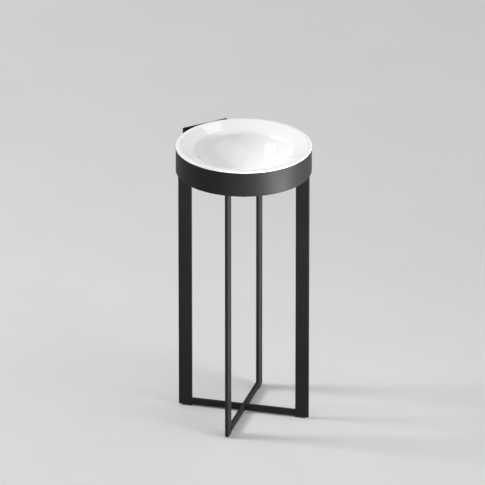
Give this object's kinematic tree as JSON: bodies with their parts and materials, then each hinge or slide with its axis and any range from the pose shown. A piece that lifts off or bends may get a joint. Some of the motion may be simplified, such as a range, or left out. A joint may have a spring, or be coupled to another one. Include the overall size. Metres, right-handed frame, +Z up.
{
  "type": "pedestal sink",
  "caption": "Free-standing round washbasin: a glazed bowl in a steel ring band on slim flat-bar legs joined by a crossed floor rail, with wall plate and waste.",
  "frame": {"origin": "middle of the object's box at floor level, waste pipe included; the bowl's axis stands at Y = -37.5 mm", "axes": "+Z up; +Y towards the wall, so the user stands at -Y; +X to the user's right"},
  "size_m": [0.4, 0.475, 0.86],
  "materials": {
    "glaze": "white gloss glaze",
    "frame": "matt black powder coat",
    "glide": "moulded, matt",
    "seal": "moulded, dull",
    "screw": "zinc plated",
    "chrome": "polished",
    "brass": "turned",
    "plastic": "moulded, satin"
  },
  "bodies": {
    "stand": {"bowl": "glaze", "bowl_gasket": "seal", "ring_band": "frame", "leg_front_left": "frame", "leg_front_right": "frame", "leg_rear_left": "frame", "leg_rear_right": "frame", "rail_lower": "frame", "rail_upper": "frame", "glide_front_left": "glide", "glide_front_right": "glide", "glide_rear_left": "glide", "glide_rear_right": "glide", "wall_plate": "frame", "standoff_block": "frame", "bracket_screws": "screw", "drain_flange": "chrome", "drain_upper_seal": "seal", "drain_lower_seal": "seal", "drain_lock_nut": "brass", "waste_body": "chrome", "waste_body_washer": "seal", "waste_pipe": "chrome", "compression_nut": "chrome", "compression_seal": "seal", "wall_rose": "chrome"},
    "cover": {"cover_cap": "chrome", "cover_guide": "plastic"}
  },
  "joints": [
    {"name": "cover_lift", "type": "slide", "parent": "stand", "child": "cover", "axis": [0, 0, 1], "range_m": [0, 0.05]}
  ]
}
